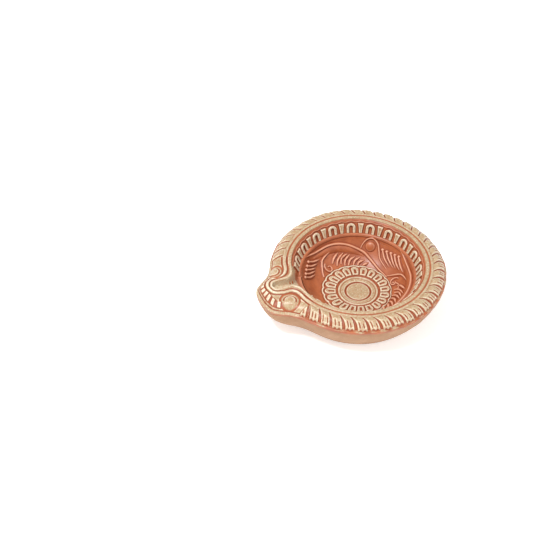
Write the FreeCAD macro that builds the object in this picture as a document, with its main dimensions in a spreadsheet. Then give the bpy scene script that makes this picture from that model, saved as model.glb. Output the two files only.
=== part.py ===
import FreeCAD, Part
import math
import os

import Sketcher
from FreeCAD import Placement, Rotation, Vector

# Diya oil lamp: a press-moulded clay dish with a pinched wick spout and raised
# ornament.  Millimetres.  The origin is the centre of the base, +X points along
# the spout, +Z is up.

DRIVING_SIZES = {
    # clay dish
    "rim_radius": 40.0,
    "rim_edge_height": 16.8,
    "crest_height": 20.3,
    "rim_band_width": 5.7,
    "crest_width": 4.5,
    "rim_arch_radius": 8.6,
    "base_radius": 31.0,
    "belly_radius": 39.6,
    "belly_height": 13.2,
    "wall_arch_radius": 42.0,
    "bowl_edge_height": 14.3,
    "bowl_radius": 26.0,
    "bowl_arch_radius": 20.0,
    "floor_radius": 16.0,
    "floor_height": 3.2,
    # spout and its wick channel
    "spout_length": 8.8,
    "spout_shoulder_length": 1.0,
    "spout_half_width": 11.9,
    "spout_root_depth": 5.2,
    "spout_root_half_width": 19.4,
    "spout_foot_share": 0.72,
    "terrace_height": 18.2,
    "spout_edge_width": 1.2,
    "dentil_band_width": 2.6,
    "channel_width": 5.0,
    "channel_floor_height": 15.6,
    "channel_end_margin": 6.9,
    # ornament
    "relief_depth": 0.7,
    "lip_width": 1.0,
    "lip_gap_angle": 28.0,
    "leaf_count": 37.0,
    "leaf_gap_angle": 29.0,
    "leaf_groove_angle": 1.6,
    "crest_band_width": 1.5,
    "crest_groove_width": 0.8,
    "crest_gap_angle": 21.0,
    "ledge_width": 1.4,
    "ledge_gap_angle": 13.0,
    "arch_count": 17.0,
    "arcade_gap_angle": 21.0,
    "arch_angle": 9.0,
    "arch_opening_angle": 3.6,
    "pillar_angle": 4.2,
    "bowl_line_width": 1,
    "bowl_line_gap_angle": 10.0,
    "vine_width": 1.3,
    "boss_radius": 2.2,
    "spiral_radius": 1.9,
    "disc_radius": 5.6,
    "ring_inner_radius": 6.9,
    "ring_outer_radius": 9.3,
    "petal_count": 20.0,
    "petal_ring_gap": 0.9,
    "petal_outline_gap": 0.8,
    "petal_half_width": 1.45,
    "petal_pit_radius": 0.6,
    "outline_width": 0.8,
    "line_width": 1.1,
    "line_gap": 1.1,
    "volute_radius": 3.1,
    "volute_depth": 2.6,
    "volute_gap": 0.3,
    "dentil_radius": 0.8,
    "dentil_rise": 1.2,
}

STROKE_BEND = 0.75      # outer arc radius of a leaf stroke, as a share of its length
HALF_ROUND = 0.56       # radius of a raised line's round top, as a share of its width
ARCADE_FOOT = 0.14      # the arcade's foot, arch spring and head, as shares of its wall
ARCH_SPRING = 0.6
ARCADE_HEAD = 0.86
PIT_PLACE = 0.517       # where a petal's pit sits, as a share of the petal's length
ROOT_SLANT = 0.8        # how far an inset draws the spout's root in along each axis
LIP_START = 0.15        # where the spout's lip line starts between its root and shoulder
DENTILS_A_SIDE = 4
UNIT_TURN = 120         # the bowl's ornament is one unit repeated three times

doc = FreeCAD.newDocument("diya_lamp")
sheet = doc.addObject("Spreadsheet::Sheet", "sizes")
for row, (alias, number) in enumerate(DRIVING_SIZES.items(), start=1):
    sheet.set("A%d" % row, alias)
    sheet.set("B%d" % row, str(number))
    sheet.setAlias("B%d" % row, alias)
doc.recompute()


class Size:
    """A length or angle that knows its number and its spreadsheet expression."""

    def __init__(self, value, text):
        self.value = value
        self.text = text

    def __add__(self, other):
        other = as_size(other)
        return Size(self.value + other.value, "(%s + %s)" % (self.text, other.text))

    def __sub__(self, other):
        other = as_size(other)
        return Size(self.value - other.value, "(%s - %s)" % (self.text, other.text))

    def __mul__(self, other):
        other = as_size(other)
        return Size(self.value * other.value, "(%s * %s)" % (self.text, other.text))

    def __truediv__(self, other):
        other = as_size(other)
        return Size(self.value / other.value, "(%s / %s)" % (self.text, other.text))

    def __neg__(self):
        return as_size(0) - self


def as_size(number):
    return number if isinstance(number, Size) else Size(float(number), repr(float(number)))


def size(alias):
    return Size(float(sheet.get(alias)), "sizes." + alias)


def cosine(angle):
    return Size(math.cos(math.radians(angle.value)), "cos(%s)" % angle.text)


def sine(angle):
    return Size(math.sin(math.radians(angle.value)), "sin(%s)" % angle.text)


def polar(radius, angle):
    """The plan point at a radius and at an angle in degrees from the spout."""
    radius, angle = as_size(radius), as_size(angle)
    return radius * cosine(angle), radius * sine(angle)


def square_root(area):
    return Size(math.sqrt(area.value), "sqrt(%s)" % area.text)


# ---------------------------------------------------------------- sketch helpers

def new_body(label):
    body = doc.addObject("PartDesign::Body", label)
    body.Label = label
    body.AllowCompound = True
    return body


def origin_feature(body, role):
    return next(item for item in body.Origin.OriginFeatures if item.Role == role)


def new_sketch(body, name, role="XZ_Plane", height=None):
    sketch = body.newObject("Sketcher::SketchObject", name)
    sketch.AttachmentSupport = [(origin_feature(body, role), "")]
    sketch.MapMode = "FlatFace"
    if height is not None:
        sketch.setExpression("AttachmentOffset.Base.z", height.text)
        sketch.AttachmentOffset = Placement(Vector(0, 0, height.value), Rotation())
    return sketch


def bind(sketch, constraint, length):
    index = sketch.addConstraint(constraint)
    sketch.setExpression("Constraints[%d]" % index, length.text)


def pin_point(sketch, edge, end, point):
    """Hold one end of an edge at a plan or profile point given as two sizes."""
    across, along = point
    bind(sketch, Sketcher.Constraint("DistanceX", -1, 1, edge, end, across.value), across)
    bind(sketch, Sketcher.Constraint("DistanceY", -1, 1, edge, end, along.value), along)


def arc_between(start, finish, radius, bulge):
    """The minor arc from start to finish that bulges to its left (+1) or right (-1)."""
    a = Vector(start[0].value, start[1].value, 0)
    b = Vector(finish[0].value, finish[1].value, 0)
    chord = b - a
    left = Vector(-chord.y, chord.x, 0).normalize()
    reach = math.sqrt(max(radius.value ** 2 - (chord.Length / 2) ** 2, 0.0))
    middle = (a + b) * 0.5 + left * bulge * (radius.value - reach)
    return Part.Arc(a, middle, b)


def outline(sketch, points):
    """A closed outline.  Each entry is (x, y), or (x, y, radius, bulge) for a point
    that an arc arrives at."""
    points = [tuple(as_size(value) for value in entry[:2]) + tuple(entry[2:]) for entry in points]
    edges, radii = [], []
    for index, entry in enumerate(points):
        before = points[index - 1]
        if len(entry) == 2:
            line = Part.LineSegment(Vector(before[0].value, before[1].value, 0),
                                    Vector(entry[0].value, entry[1].value, 0))
            edges.append((sketch.addGeometry(line, False), 1, 2))
        else:
            arc = arc_between(before, entry, as_size(entry[2]), entry[3])
            start = Vector(before[0].value, before[1].value, 0)
            number = sketch.addGeometry(arc, False)
            forward = sketch.getPoint(number, 1).distanceToPoint(start) < 1e-6
            edges.append((number, 1, 2) if forward else (number, 2, 1))
            radii.append((number, as_size(entry[2])))
    for index, (number, start, finish) in enumerate(edges):
        following = edges[(index + 1) % len(edges)]
        sketch.addConstraint(Sketcher.Constraint("Coincident", number, finish,
                                                 following[0], following[1]))
        pin_point(sketch, number, finish, points[index][:2])
    for number, radius in radii:
        bind(sketch, Sketcher.Constraint("Radius", number, radius.value), radius)


def circle(sketch, centre, radius):
    centre = tuple(as_size(value) for value in centre)
    round_edge = Part.Circle(Vector(centre[0].value, centre[1].value, 0), Vector(0, 0, 1), radius.value)
    number = sketch.addGeometry(round_edge, False)
    pin_point(sketch, number, 3, centre)
    bind(sketch, Sketcher.Constraint("Radius", number, radius.value), radius)


# --------------------------------------------------------------- feature helpers

def revolve(body, name, points, angle=None, cut=False, centred=False):
    """Turn a profile about Z, all round, or through an angle anticlockwise from +X or
    centred on it."""
    sketch = new_sketch(body, name + "_profile")
    outline(sketch, points)
    kind = "PartDesign::Groove" if cut else "PartDesign::Revolution"
    feature = body.newObject(kind, name)
    feature.Profile = sketch
    feature.ReferenceAxis = (sketch, ["V_Axis"])
    feature.Midplane = centred
    if angle is None:
        feature.Angle = 360
    else:
        feature.Angle = angle.value
        feature.setExpression("Angle", angle.text)
    return feature


def pad(body, name, draw, height, thickness, cut=False):
    """Raise (or cut down) what draw puts in a level sketch at a height."""
    sketch = new_sketch(body, name + "_plan", "XY_Plane", height)
    draw(sketch)
    feature = body.newObject("PartDesign::Pocket" if cut else "PartDesign::Pad", name)
    feature.Profile = sketch
    feature.Length = thickness.value
    feature.setExpression("Length", thickness.text)
    return feature


def loft(body, name, drawings):
    """Join level outlines, given as (draw, height) pairs, with a ruled skin."""
    sketches = []
    for index, (draw, height) in enumerate(drawings):
        sketch = new_sketch(body, "%s_plan_%d" % (name, index), "XY_Plane", height)
        draw(sketch)
        sketches.append(sketch)
    feature = body.newObject("PartDesign::AdditiveLoft", name)
    feature.Profile = sketches[0]
    feature.Sections = sketches[1:]
    feature.Ruled = True
    return feature


def polar_copies(body, features, count, spread):
    """Repeat features anticlockwise about Z, spread degrees from the first to the last."""
    pattern = body.newObject("PartDesign::PolarPattern", body.Name + "_pattern")
    pattern.Originals = features
    pattern.Axis = (origin_feature(body, "Z_Axis"), [""])
    pattern.Occurrences = int(count.value)
    pattern.setExpression("Occurrences", count.text)
    pattern.Angle = spread.value
    pattern.setExpression("Angle", spread.text)
    body.Tip = pattern
    return pattern


def turn(body, angle):
    """Turn a finished body about Z by an angle from the spout."""
    body.Placement = Placement(Vector(), Rotation(Vector(0, 0, 1), angle.value))
    body.setExpression("Placement.Rotation.Angle", angle.text)


def gap_ring(label, points, gap):
    """A ring about Z that stops at a gap angle on each side of the spout."""
    body = new_body(label)
    revolve(body, label + "_ring", points, as_size(360) - gap * 2)
    turn(body, gap)
    return body


# ------------------------------------------------------------- shared dimensions

depth = size("relief_depth")
rim_radius = size("rim_radius")
edge_height = size("rim_edge_height")
crest_height = size("crest_height")
crest_outer = rim_radius - size("rim_band_width")
crest_inner = crest_outer - size("crest_width")
bowl_edge = size("bowl_edge_height")
bowl_radius = size("bowl_radius")
bowl_arch = size("bowl_arch_radius")
floor_radius = size("floor_radius")
floor_height = size("floor_height")
lip_width = size("lip_width")
bowl_line_width = size("bowl_line_width")
band_width = size("crest_band_width")
channel_half = size("channel_width") / 2
line_width = size("line_width")
outline_width = size("outline_width")
lip_inner = rim_radius - lip_width
shelf_radius = bowl_radius + bowl_line_width
spout_reach = rim_radius + size("spout_length")
channel_end = spout_reach - size("channel_end_margin")
edge_width = size("spout_edge_width")
crown_inset = edge_width + size("dentil_band_width")


def spout_corners(inset, share=None):
    """The root, shoulder and tip of the spout's level outline, drawn in by an inset and
    scaled by a share."""
    share = as_size(1) if share is None else share
    slant = inset * ROOT_SLANT
    root_reach = rim_radius - size("spout_root_depth")
    shoulder_reach = rim_radius + size("spout_shoulder_length")
    root = (root_reach - slant) * share, (size("spout_root_half_width") - slant) * share
    shoulder = shoulder_reach * share, (size("spout_half_width") - inset) * share
    tip = (spout_reach - inset) * share
    ahead = tip - shoulder[0]
    radius = (ahead * ahead + shoulder[1] * shoulder[1]) / (ahead * 2)
    return root, shoulder, tip, radius


def spout_outline(inset, share=None):
    """The spout seen from above: flared sides that meet a round nose."""
    def draw(sketch):
        root, shoulder, tip, radius = spout_corners(inset, share)
        outline(sketch, [
            (0, -root[1]),
            (root[0], -root[1]),
            (shoulder[0], -shoulder[1]),
            (tip, 0, radius, -1),
            shoulder + (radius, -1),
            root,
            (0, root[1]),
        ])
    return draw


def nose(reach, half_width, back=0):
    """A level outline with straight sides, from x = back to a half-round nose."""
    def draw(sketch):
        reach_x, half, back_x = as_size(reach), as_size(half_width), as_size(back)
        outline(sketch, [
            (back_x, -half),
            (reach_x - half, -half),
            (reach_x, 0, half, -1),
            (reach_x - half, half, half, -1),
            (back_x, half),
        ])
    return draw


# ------------------------------------------------------------------ the clay dish

def make_clay_body():
    body = new_body("clay_body")
    revolve(body, "dish", [
        (0, 0),
        (size("base_radius"), 0),
        (size("belly_radius"), size("belly_height"), size("wall_arch_radius"), -1),
        (rim_radius, edge_height),
        (lip_inner, edge_height),
        (crest_outer, crest_height, size("rim_arch_radius"), -1),
        (0, crest_height),
    ])
    foot = size("spout_foot_share")
    loft(body, "spout_wall", [
        (spout_outline(as_size(0), foot), as_size(0)),
        (spout_outline(as_size(0)), edge_height),
    ])
    pad(body, "spout_terrace", spout_outline(edge_width), edge_height,
        size("terrace_height") - edge_height)
    pad(body, "spout_crown", spout_outline(crown_inset), edge_height, crest_height - edge_height)
    revolve(body, "bowl", [
        (0, crest_height + 1),
        (0, floor_height),
        (floor_radius, floor_height),
        (bowl_radius, bowl_edge, bowl_arch, -1),
        (shelf_radius, bowl_edge),
        (crest_inner, crest_height),
        (crest_inner, crest_height + 1),
    ], cut=True)
    pad(body, "wick_channel", nose(channel_end, channel_half, floor_radius), crest_height,
        crest_height - size("channel_floor_height"), cut=True)
    return body


# ------------------------------------------------------------------ rim ornament

def make_rim_lip_line():
    return gap_ring("rim_lip_line", [
        (lip_inner, edge_height),
        (rim_radius, edge_height),
        (lip_inner, edge_height + depth, lip_width, -1),
    ], size("lip_gap_angle"))


def make_rim_leaves():
    """Raised leaves on the convex rim band, with a groove between neighbours."""
    body = new_body("rim_leaves")
    gap, groove, count = size("leaf_gap_angle"), size("leaf_groove_angle"), size("leaf_count")
    pitch = (as_size(360) - gap * 2) / count
    arch = size("rim_arch_radius")
    leaf = revolve(body, "leaf", [
        (lip_inner, edge_height, arch, 1),
        (lip_inner, edge_height + depth),
        (crest_outer, crest_height + depth, arch, -1),
        (crest_outer, crest_height),
    ], pitch - groove)
    polar_copies(body, [leaf], count, pitch * (count - 1))
    turn(body, gap + groove / 2)
    return body


def make_crest_band():
    return gap_ring("crest_band", [
        (crest_outer, crest_height),
        (crest_outer - band_width, crest_height, band_width * HALF_ROUND, -1),
    ], size("crest_gap_angle"))


def make_ledge_ring():
    outer = crest_outer - band_width - size("crest_groove_width")
    ledge = size("ledge_width")
    return gap_ring("ledge_ring", [
        (outer, crest_height),
        (outer - ledge, crest_height, ledge * HALF_ROUND, -1),
    ], size("ledge_gap_angle"))


def arcade_layer(low, high, under=0.0, over=1.0):
    """A strip along the steep wall between two shares of its height, from under to over
    times the relief depth off the wall."""
    run = crest_inner - shelf_radius
    rise = crest_height - bowl_edge
    slope = square_root(run * run + rise * rise)

    def corner(share, lift):
        inset, climb = depth * rise / slope * lift, depth * run / slope * lift
        return shelf_radius + run * share - inset, bowl_edge + rise * share + climb
    return [corner(low, under), corner(high, under), corner(high, over), corner(low, over)]


def arcade_row(body, features, count, first):
    """Repeat one arch or pillar at the arcade's pitch from a first angle."""
    pitch = (as_size(360) - size("arcade_gap_angle") * 2) / size("arch_count")
    polar_copies(body, features, count, pitch * (count - 1))
    turn(body, size("arcade_gap_angle") + pitch * first)
    return body


def make_arcade_arches():
    body = new_body("arcade_arches")
    arch = revolve(body, "arch", arcade_layer(ARCADE_FOOT, ARCADE_HEAD), size("arch_angle"),
                   centred=True)
    opening = revolve(body, "opening", arcade_layer(0.0, ARCH_SPRING, -0.5, 1.5),
                      size("arch_opening_angle"), cut=True, centred=True)
    return arcade_row(body, [arch, opening], size("arch_count"), 0.5)


def make_arcade_pillars():
    body = new_body("arcade_pillars")
    pillar = revolve(body, "pillar", arcade_layer(ARCADE_FOOT, ARCADE_HEAD), size("pillar_angle"),
                     centred=True)
    return arcade_row(body, [pillar], size("arch_count") - 1, 1.0)


def make_bowl_line():
    return gap_ring("bowl_line", [
        (shelf_radius, bowl_edge),
        (bowl_radius, bowl_edge, bowl_line_width * HALF_ROUND, -1),
    ], size("bowl_line_gap_angle"))


# ----------------------------------------------------------- ornament in the bowl

def trim_to_bowl(body):
    """Leave only the layer of relief depth on the bowl's curved wall."""
    revolve(body, body.Name + "_underside", [
        (0, -1),
        (0, floor_height),
        (floor_radius, floor_height),
        (bowl_radius, bowl_edge, bowl_arch, -1),
        (bowl_radius, -1),
    ], cut=True)
    revolve(body, body.Name + "_topside", [
        (0, crest_height + 1),
        (0, floor_height + depth),
        (floor_radius, floor_height + depth),
        (bowl_radius, bowl_edge + depth, bowl_arch, -1),
        (bowl_radius + 1, bowl_edge + depth),
        (bowl_radius + 1, crest_height + 1),
    ], cut=True)


def bowl_place(share, angle):
    """A plan point at a share of the way from the floor's edge to the bowl's edge."""
    return polar(floor_radius + (bowl_radius - floor_radius) * share, angle)


def stroke(sketch, start, finish, width, bulge):
    """A leaf stroke: two arcs between its ends, the inner one flatter by its width."""
    chord = math.hypot(finish[0].value - start[0].value, finish[1].value - start[1].value)
    outer = as_size(round(chord * STROKE_BEND, 2))
    inner = as_size(round(chord * STROKE_BEND * width, 2))
    outline(sketch, [start + (inner, -bulge), finish + (outer, bulge)])


def bowl_relief(label, draw, turns=(0, 1, 2)):
    """Relief drawn for one unit of the bowl's ornament and repeated at each turn."""
    body = new_body(label)

    def draw_all(sketch):
        for step in turns:
            draw(sketch, -UNIT_TURN * step)
    pad(body, label + "_pad", draw_all, as_size(0), crest_height)
    trim_to_bowl(body)
    return body


def make_vine_stems():
    """Each vine leaves the bowl's edge and sweeps clockwise in to the medallion."""
    width = size("vine_width") / (bowl_radius - floor_radius)

    def draw(sketch, turned):
        outer = [(0.95, -56, None), (0.86, -100, 27.0), (0.22, -152, 19.0)]
        places = [bowl_place(share, turned + angle) for share, angle, bend in outer]
        inner = [bowl_place(as_size(share) - width, turned + angle) for share, angle, bend in outer]
        outline(sketch, [
            places[0],
            places[1] + (outer[1][2], 1),
            places[2] + (outer[2][2], 1),
            inner[2],
            inner[1] + (outer[2][2], -1),
            inner[0] + (outer[1][2], -1),
        ])
    return bowl_relief("vine_stems", draw)


def make_inner_fans():
    """Leaf strokes that spread from the medallion to the inside of each vine."""
    def draw(sketch, turned):
        for number in range(5):
            lean = turned - 92 - number * 8
            stroke(sketch, bowl_place(0.22 - number * 0.03, lean + 11),
                   bowl_place(0.5 - number * 0.07, lean), 2.0, 1)
    return bowl_relief("inner_leaf_fans", draw)


def make_outer_fans():
    """Leaf strokes that spread from the bowl's edge to the outside of each vine."""
    def draw(sketch, turned):
        for number in range(4):
            lean = turned - 145 - number * 7
            stroke(sketch, bowl_place(0.42 + number * 0.08, lean - 14),
                   bowl_place(0.8, lean), 2.0, -1)
    return bowl_relief("outer_leaf_fans", draw, turns=(0, 2))


def make_scroll_bosses():
    def draw(sketch, turned):
        circle(sketch, bowl_place(0.74, turned - 130), size("boss_radius"))
    return bowl_relief("scroll_bosses", draw, turns=(0, 1))


def make_scroll_spirals():
    def draw(sketch, turned):
        circle(sketch, bowl_place(0.3, turned - 66), size("spiral_radius"))
    return bowl_relief("scroll_spirals", draw)


# ----------------------------------------------------------------- the medallion

def full_ring(label, outer, inner):
    body = new_body(label)
    revolve(body, label + "_ring", [
        (outer, floor_height),
        (inner, floor_height, (outer - inner) * HALF_ROUND, -1),
    ])
    return body


def make_medallion_disc():
    body = new_body("medallion_disc")
    radius = size("disc_radius")
    revolve(body, "disc", [
        (0, floor_height),
        (radius, floor_height),
        (radius, floor_height + depth * 0.6),
        (0, floor_height + depth),
    ])
    return body


def make_medallion_petals():
    body = new_body("medallion_petals")
    inner = size("ring_outer_radius") + size("petal_ring_gap")
    outer = floor_radius - outline_width - size("petal_outline_gap")
    half = size("petal_half_width")

    def draw(sketch):
        outline(sketch, [
            (inner, -half * 0.6),
            (outer - half, -half),
            (outer, 0, half, -1),
            (outer - half, half, half, -1),
            (inner, half * 0.6),
        ])
        circle(sketch, (inner + (outer - inner) * PIT_PLACE, 0), size("petal_pit_radius"))
    petal = pad(body, "petal", draw, floor_height, depth)
    polar_copies(body, [petal], size("petal_count"), as_size(360))
    return body


# --------------------------------------------------------------- spout ornament

def spout_line(label, inset):
    """A raised line on the crown that follows the wick channel's wall at an inset."""
    body = new_body(label)
    reach, half = channel_end + inset, channel_half + inset
    start = crest_outer - band_width - size("crest_groove_width")

    def draw(sketch):
        outline(sketch, [
            (start, -half - line_width),
            (reach - half, -half - line_width),
            (reach + line_width, 0, half + line_width, -1),
            (reach - half, half + line_width, half + line_width, -1),
            (start, half + line_width),
            (start, half),
            (reach - half, half),
            (reach, 0, half, 1),
            (reach - half, -half, half, 1),
            (start, -half),
        ])
    pad(body, label + "_pad", draw, crest_height, depth)
    return body


def make_spout_lip_line():
    """The painted edge round the spout's nose."""
    body = new_body("spout_lip_line")

    def draw(sketch):
        ends = []
        for inset in (as_size(0), edge_width):
            root, shoulder, tip, radius = spout_corners(inset)
            start = tuple(a + (b - a) * LIP_START for a, b in zip(root, shoulder))
            ends.append((start, shoulder, tip, radius))
        (start, shoulder, tip, radius), (in_start, in_shoulder, in_tip, in_radius) = ends
        outline(sketch, [
            (start[0], -start[1]),
            (shoulder[0], -shoulder[1]),
            (tip, 0, radius, -1),
            shoulder + (radius, -1),
            start,
            in_start,
            in_shoulder,
            (in_tip, 0, in_radius, 1),
            (in_shoulder[0], -in_shoulder[1], in_radius, 1),
            (in_start[0], -in_start[1]),
        ])
    pad(body, "lip", draw, edge_height, depth)
    return body


def make_spout_volutes():
    """A round boss on each side of the wick channel where the leaf band ends."""
    body = new_body("spout_volutes")
    radius = size("volute_radius")
    reach = rim_radius - size("volute_depth")
    outer_line = channel_half + line_width * 2 + size("line_gap")
    offset = outer_line + size("volute_gap") + radius

    def draw(sketch):
        for side in (1, -1):
            circle(sketch, (reach, offset * side), radius)
    pad(body, "volute_pad", draw, crest_height, depth)
    return body


def make_spout_dentils():
    """A row of small studs on the terrace between the spout's edge and its crown."""
    body = new_body("spout_dentils")
    middle = edge_width + size("dentil_band_width") / 2
    root, shoulder, tip, radius = spout_corners(middle)

    def draw(sketch):
        half_fan = math.degrees(math.asin(shoulder[1].value / radius.value))
        for number in range(-DENTILS_A_SIDE + 1, DENTILS_A_SIDE):
            across, along = polar(radius, half_fan * number / DENTILS_A_SIDE)
            circle(sketch, (tip - radius + across, along), size("dentil_radius"))
    pad(body, "dentil_pad", draw, size("terrace_height"), size("dentil_rise"))
    return body


makers = [
    make_clay_body, make_rim_lip_line, make_rim_leaves, make_crest_band, make_ledge_ring,
    make_arcade_arches, make_arcade_pillars, make_bowl_line, make_vine_stems, make_inner_fans,
    make_outer_fans, make_scroll_bosses, make_scroll_spirals, make_medallion_disc,
    make_medallion_petals, make_spout_lip_line, make_spout_volutes, make_spout_dentils,
]
nodes = [make() for make in makers]
nodes.append(spout_line("spout_inner_line", as_size(0)))
nodes.append(spout_line("spout_outer_line", line_width + size("line_gap")))
nodes.append(full_ring("medallion_ring", size("ring_outer_radius"), size("ring_inner_radius")))
nodes.append(full_ring("medallion_outline", floor_radius, floor_radius - outline_width))

doc.recompute()

faults = [item.Name for item in doc.Objects if "Invalid" in item.State or "Error" in item.State]
for node in nodes:
    shape = node.Shape
    if shape.isNull() or not shape.isValid() or not shape.Solids:
        faults.append(node.Label)
    else:
        box = shape.BoundBox
        print("%-20s solids %3d volume %9.2f  x %.1f..%.1f y %.1f..%.1f z %.1f..%.1f" % (
            node.Label, len(shape.Solids), shape.Volume, box.XMin, box.XMax, box.YMin, box.YMax,
            box.ZMin, box.ZMax))
if faults:
    raise RuntimeError("failed: " + ", ".join(faults))

os.makedirs("parts", exist_ok=True)
for node in nodes:
    node.Shape.exportStep("parts/%s.step" % node.Label)
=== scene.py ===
import math

import bpy
import numpy as np
from mathutils import Matrix, Vector


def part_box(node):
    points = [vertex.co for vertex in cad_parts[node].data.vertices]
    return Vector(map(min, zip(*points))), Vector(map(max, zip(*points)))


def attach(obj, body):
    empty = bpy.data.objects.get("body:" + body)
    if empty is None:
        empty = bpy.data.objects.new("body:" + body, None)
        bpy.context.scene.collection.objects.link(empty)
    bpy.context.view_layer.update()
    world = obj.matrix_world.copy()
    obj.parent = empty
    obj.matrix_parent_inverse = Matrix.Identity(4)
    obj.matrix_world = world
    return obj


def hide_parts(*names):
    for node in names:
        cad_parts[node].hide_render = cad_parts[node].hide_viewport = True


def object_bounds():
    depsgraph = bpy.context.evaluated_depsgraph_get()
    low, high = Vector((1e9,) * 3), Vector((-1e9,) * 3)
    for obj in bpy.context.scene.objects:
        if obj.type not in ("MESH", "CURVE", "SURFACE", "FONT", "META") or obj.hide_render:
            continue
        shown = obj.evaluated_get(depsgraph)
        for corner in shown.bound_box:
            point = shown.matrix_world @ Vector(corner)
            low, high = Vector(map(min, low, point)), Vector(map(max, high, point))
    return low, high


# Diya oil lamp.  The frame is in metres; the relief below is worked out in
# millimetres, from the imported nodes' boxes, and turned into metres as each mesh is made.

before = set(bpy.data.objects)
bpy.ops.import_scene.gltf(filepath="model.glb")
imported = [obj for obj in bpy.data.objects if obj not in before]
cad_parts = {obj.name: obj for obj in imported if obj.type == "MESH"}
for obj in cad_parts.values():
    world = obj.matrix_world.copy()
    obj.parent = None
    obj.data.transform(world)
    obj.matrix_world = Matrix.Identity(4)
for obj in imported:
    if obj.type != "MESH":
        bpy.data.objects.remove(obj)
cad_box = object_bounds()

MM = 1000.0


def edges(node):
    """A node's lowest and highest corners, in millimetres."""
    low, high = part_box(node)
    return [c * MM for c in low], [c * MM for c in high]


# ------------------------------------------------------------ sizes from the frame

RIM = -edges("clay_body")[0][0]                  # radius of the dish's edge
REACH = edges("clay_body")[1][0]                 # spout's tip
EDGE_Z = edges("rim_lip_line")[0][2]
CREST_Z = edges("crest_band")[0][2]
TOP_Z = cad_box[1][2] * MM
LEDGE_R = -edges("ledge_ring")[0][0]
LINE_R = -edges("bowl_line")[0][0]
LINE_Z = edges("bowl_line")[0][2]
FLOOR_Z = edges("medallion_disc")[0][2]
FLOOR_R = edges("medallion_outline")[1][0]
DISC_R = edges("medallion_disc")[1][0]
RING_R = edges("medallion_ring")[1][0]
PETAL_R = edges("medallion_petals")[1][0]
VOLUTE_X = sum(e[0] for e in edges("spout_volutes")) / 2
VOLUTE_Y = edges("spout_volutes")[1][1] - 3.1       # less the scroll's radius

LEAVES = 37
LEAF_START = 29.0                                # degrees from the spout
ARCHES = 17
ARCADE_START = 21.0
ARCADE_R = 28.2                                  # middle of the arcade's slope
ARCADE_TURN = 2.4                                # degrees that the arcade is turned by
PETALS = 20
VINES = 3
BASE_R = 30.5
FOOT_REACH = 0.71 * REACH
SPOUT_SKEW = 4.5                                 # the spout's outline leans this many degrees
WALL_TOP_R = 29.9                                # where the steep arcade wall meets the crest
SKIN = 0.8                                       # a relief piece's thickness under the plain clay
MEDALLION_SHIFT = 0.8                            # how far off the middle, and which way
MEDALLION_WAY = 159.0
FLOOR_DIP = 1.1                                  # the floor is a little hollow
LOW_BOWL_R = 21.5                                # where the bowl's relief is cut in two
TOOTH_X = 36.4                                   # middle of the fan of teeth on the spout
TEETH_A_TURN = 24

# grid of the rim's relief: rows from the crest out to the lip, and half the spout's angle
RIM_ROWS = 132
CREST_ROWS = 46
LIP_ROWS = 9
SPOUT_ANGLE = 22


# -------------------------------------------------------------------- small maths

def smooth(low, high, x):
    t = np.clip((x - low) / (high - low), 0, 1)
    return t * t * (3 - 2 * t)


def ridge(x, centre, width):
    """A rounded ridge, 1 at its centre and 0 beyond half its width."""
    t = np.clip(1 - (2 * (x - centre) / width) ** 2, 0, 1)
    return np.sqrt(t) * smooth(0, 0.35, t)


def wrapped(angle):
    return (angle + 180.0) % 360.0 - 180.0


def curve_through(points, steps=10):
    """Points along a Catmull-Rom curve through the given points."""
    p = np.array([points[0]] + list(points) + [points[-1]], float)
    t = np.linspace(0, 1, steps, endpoint=False)[:, None]
    out = []
    for a, b, c, d in zip(p[:-3], p[1:-2], p[2:-1], p[3:]):
        out.append(0.5 * (2 * b + (c - a) * t + (2 * a - 5 * b + 4 * c - d) * t ** 2
                          + (3 * b - a - 3 * c + d) * t ** 3))
    return np.vstack(out + [p[-1:]])


def distance_to(px, py, line):
    """Distance from each point to a polyline, and how far along it, from 0 to 1."""
    best = np.full(px.shape, 1e9)
    along = np.zeros(px.shape)
    lengths = np.hypot(*np.diff(line, axis=0).T)
    total = lengths.sum()
    gone = 0.0
    for (ax, ay), (bx, by), length in zip(line[:-1], line[1:], lengths):
        dx, dy = bx - ax, by - ay
        t = np.clip(((px - ax) * dx + (py - ay) * dy) / max(length ** 2, 1e-9), 0, 1)
        d = np.hypot(px - ax - t * dx, py - ay - t * dy)
        near = d < best
        best[near] = d[near]
        along[near] = ((gone + t * length) / total)[near]
        gone += length
    return best, along


def grain(x, y, seed, scale):
    """Smooth noise from a few sine waves, about -1 to 1, the same each run."""
    rng = np.random.default_rng(seed)
    total = np.zeros_like(x)
    for _ in range(6):
        turn, phase = rng.uniform(0, 2 * math.pi, 2)
        wave = rng.uniform(0.6, 1.7) / scale
        total += np.sin((x * math.cos(turn) + y * math.sin(turn)) * wave + phase)
    return total / 3.0


# ------------------------------------------------------------- outlines and profile

def rim_outline(angle):
    """Radius of the lamp's edge at an angle from the spout, in degrees."""
    lean = wrapped(angle - SPOUT_SKEW)
    half = 14.1 + 0.9 * smooth(-5, 5, lean)
    t = np.radians(angle)
    wobble = np.sin(7 * t + 1) + np.sin(13 * t + 2) + np.sin(23 * t) + np.sin(41 * t + 3)
    return RIM - 0.3 + 0.05 * wobble + (REACH - RIM) / (1 + (np.abs(lean) / half) ** 5)


def foot_outline(angle):
    return BASE_R + (FOOT_REACH - BASE_R) / (1 + (np.abs(wrapped(angle)) / 11.0) ** 2.5)


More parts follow.
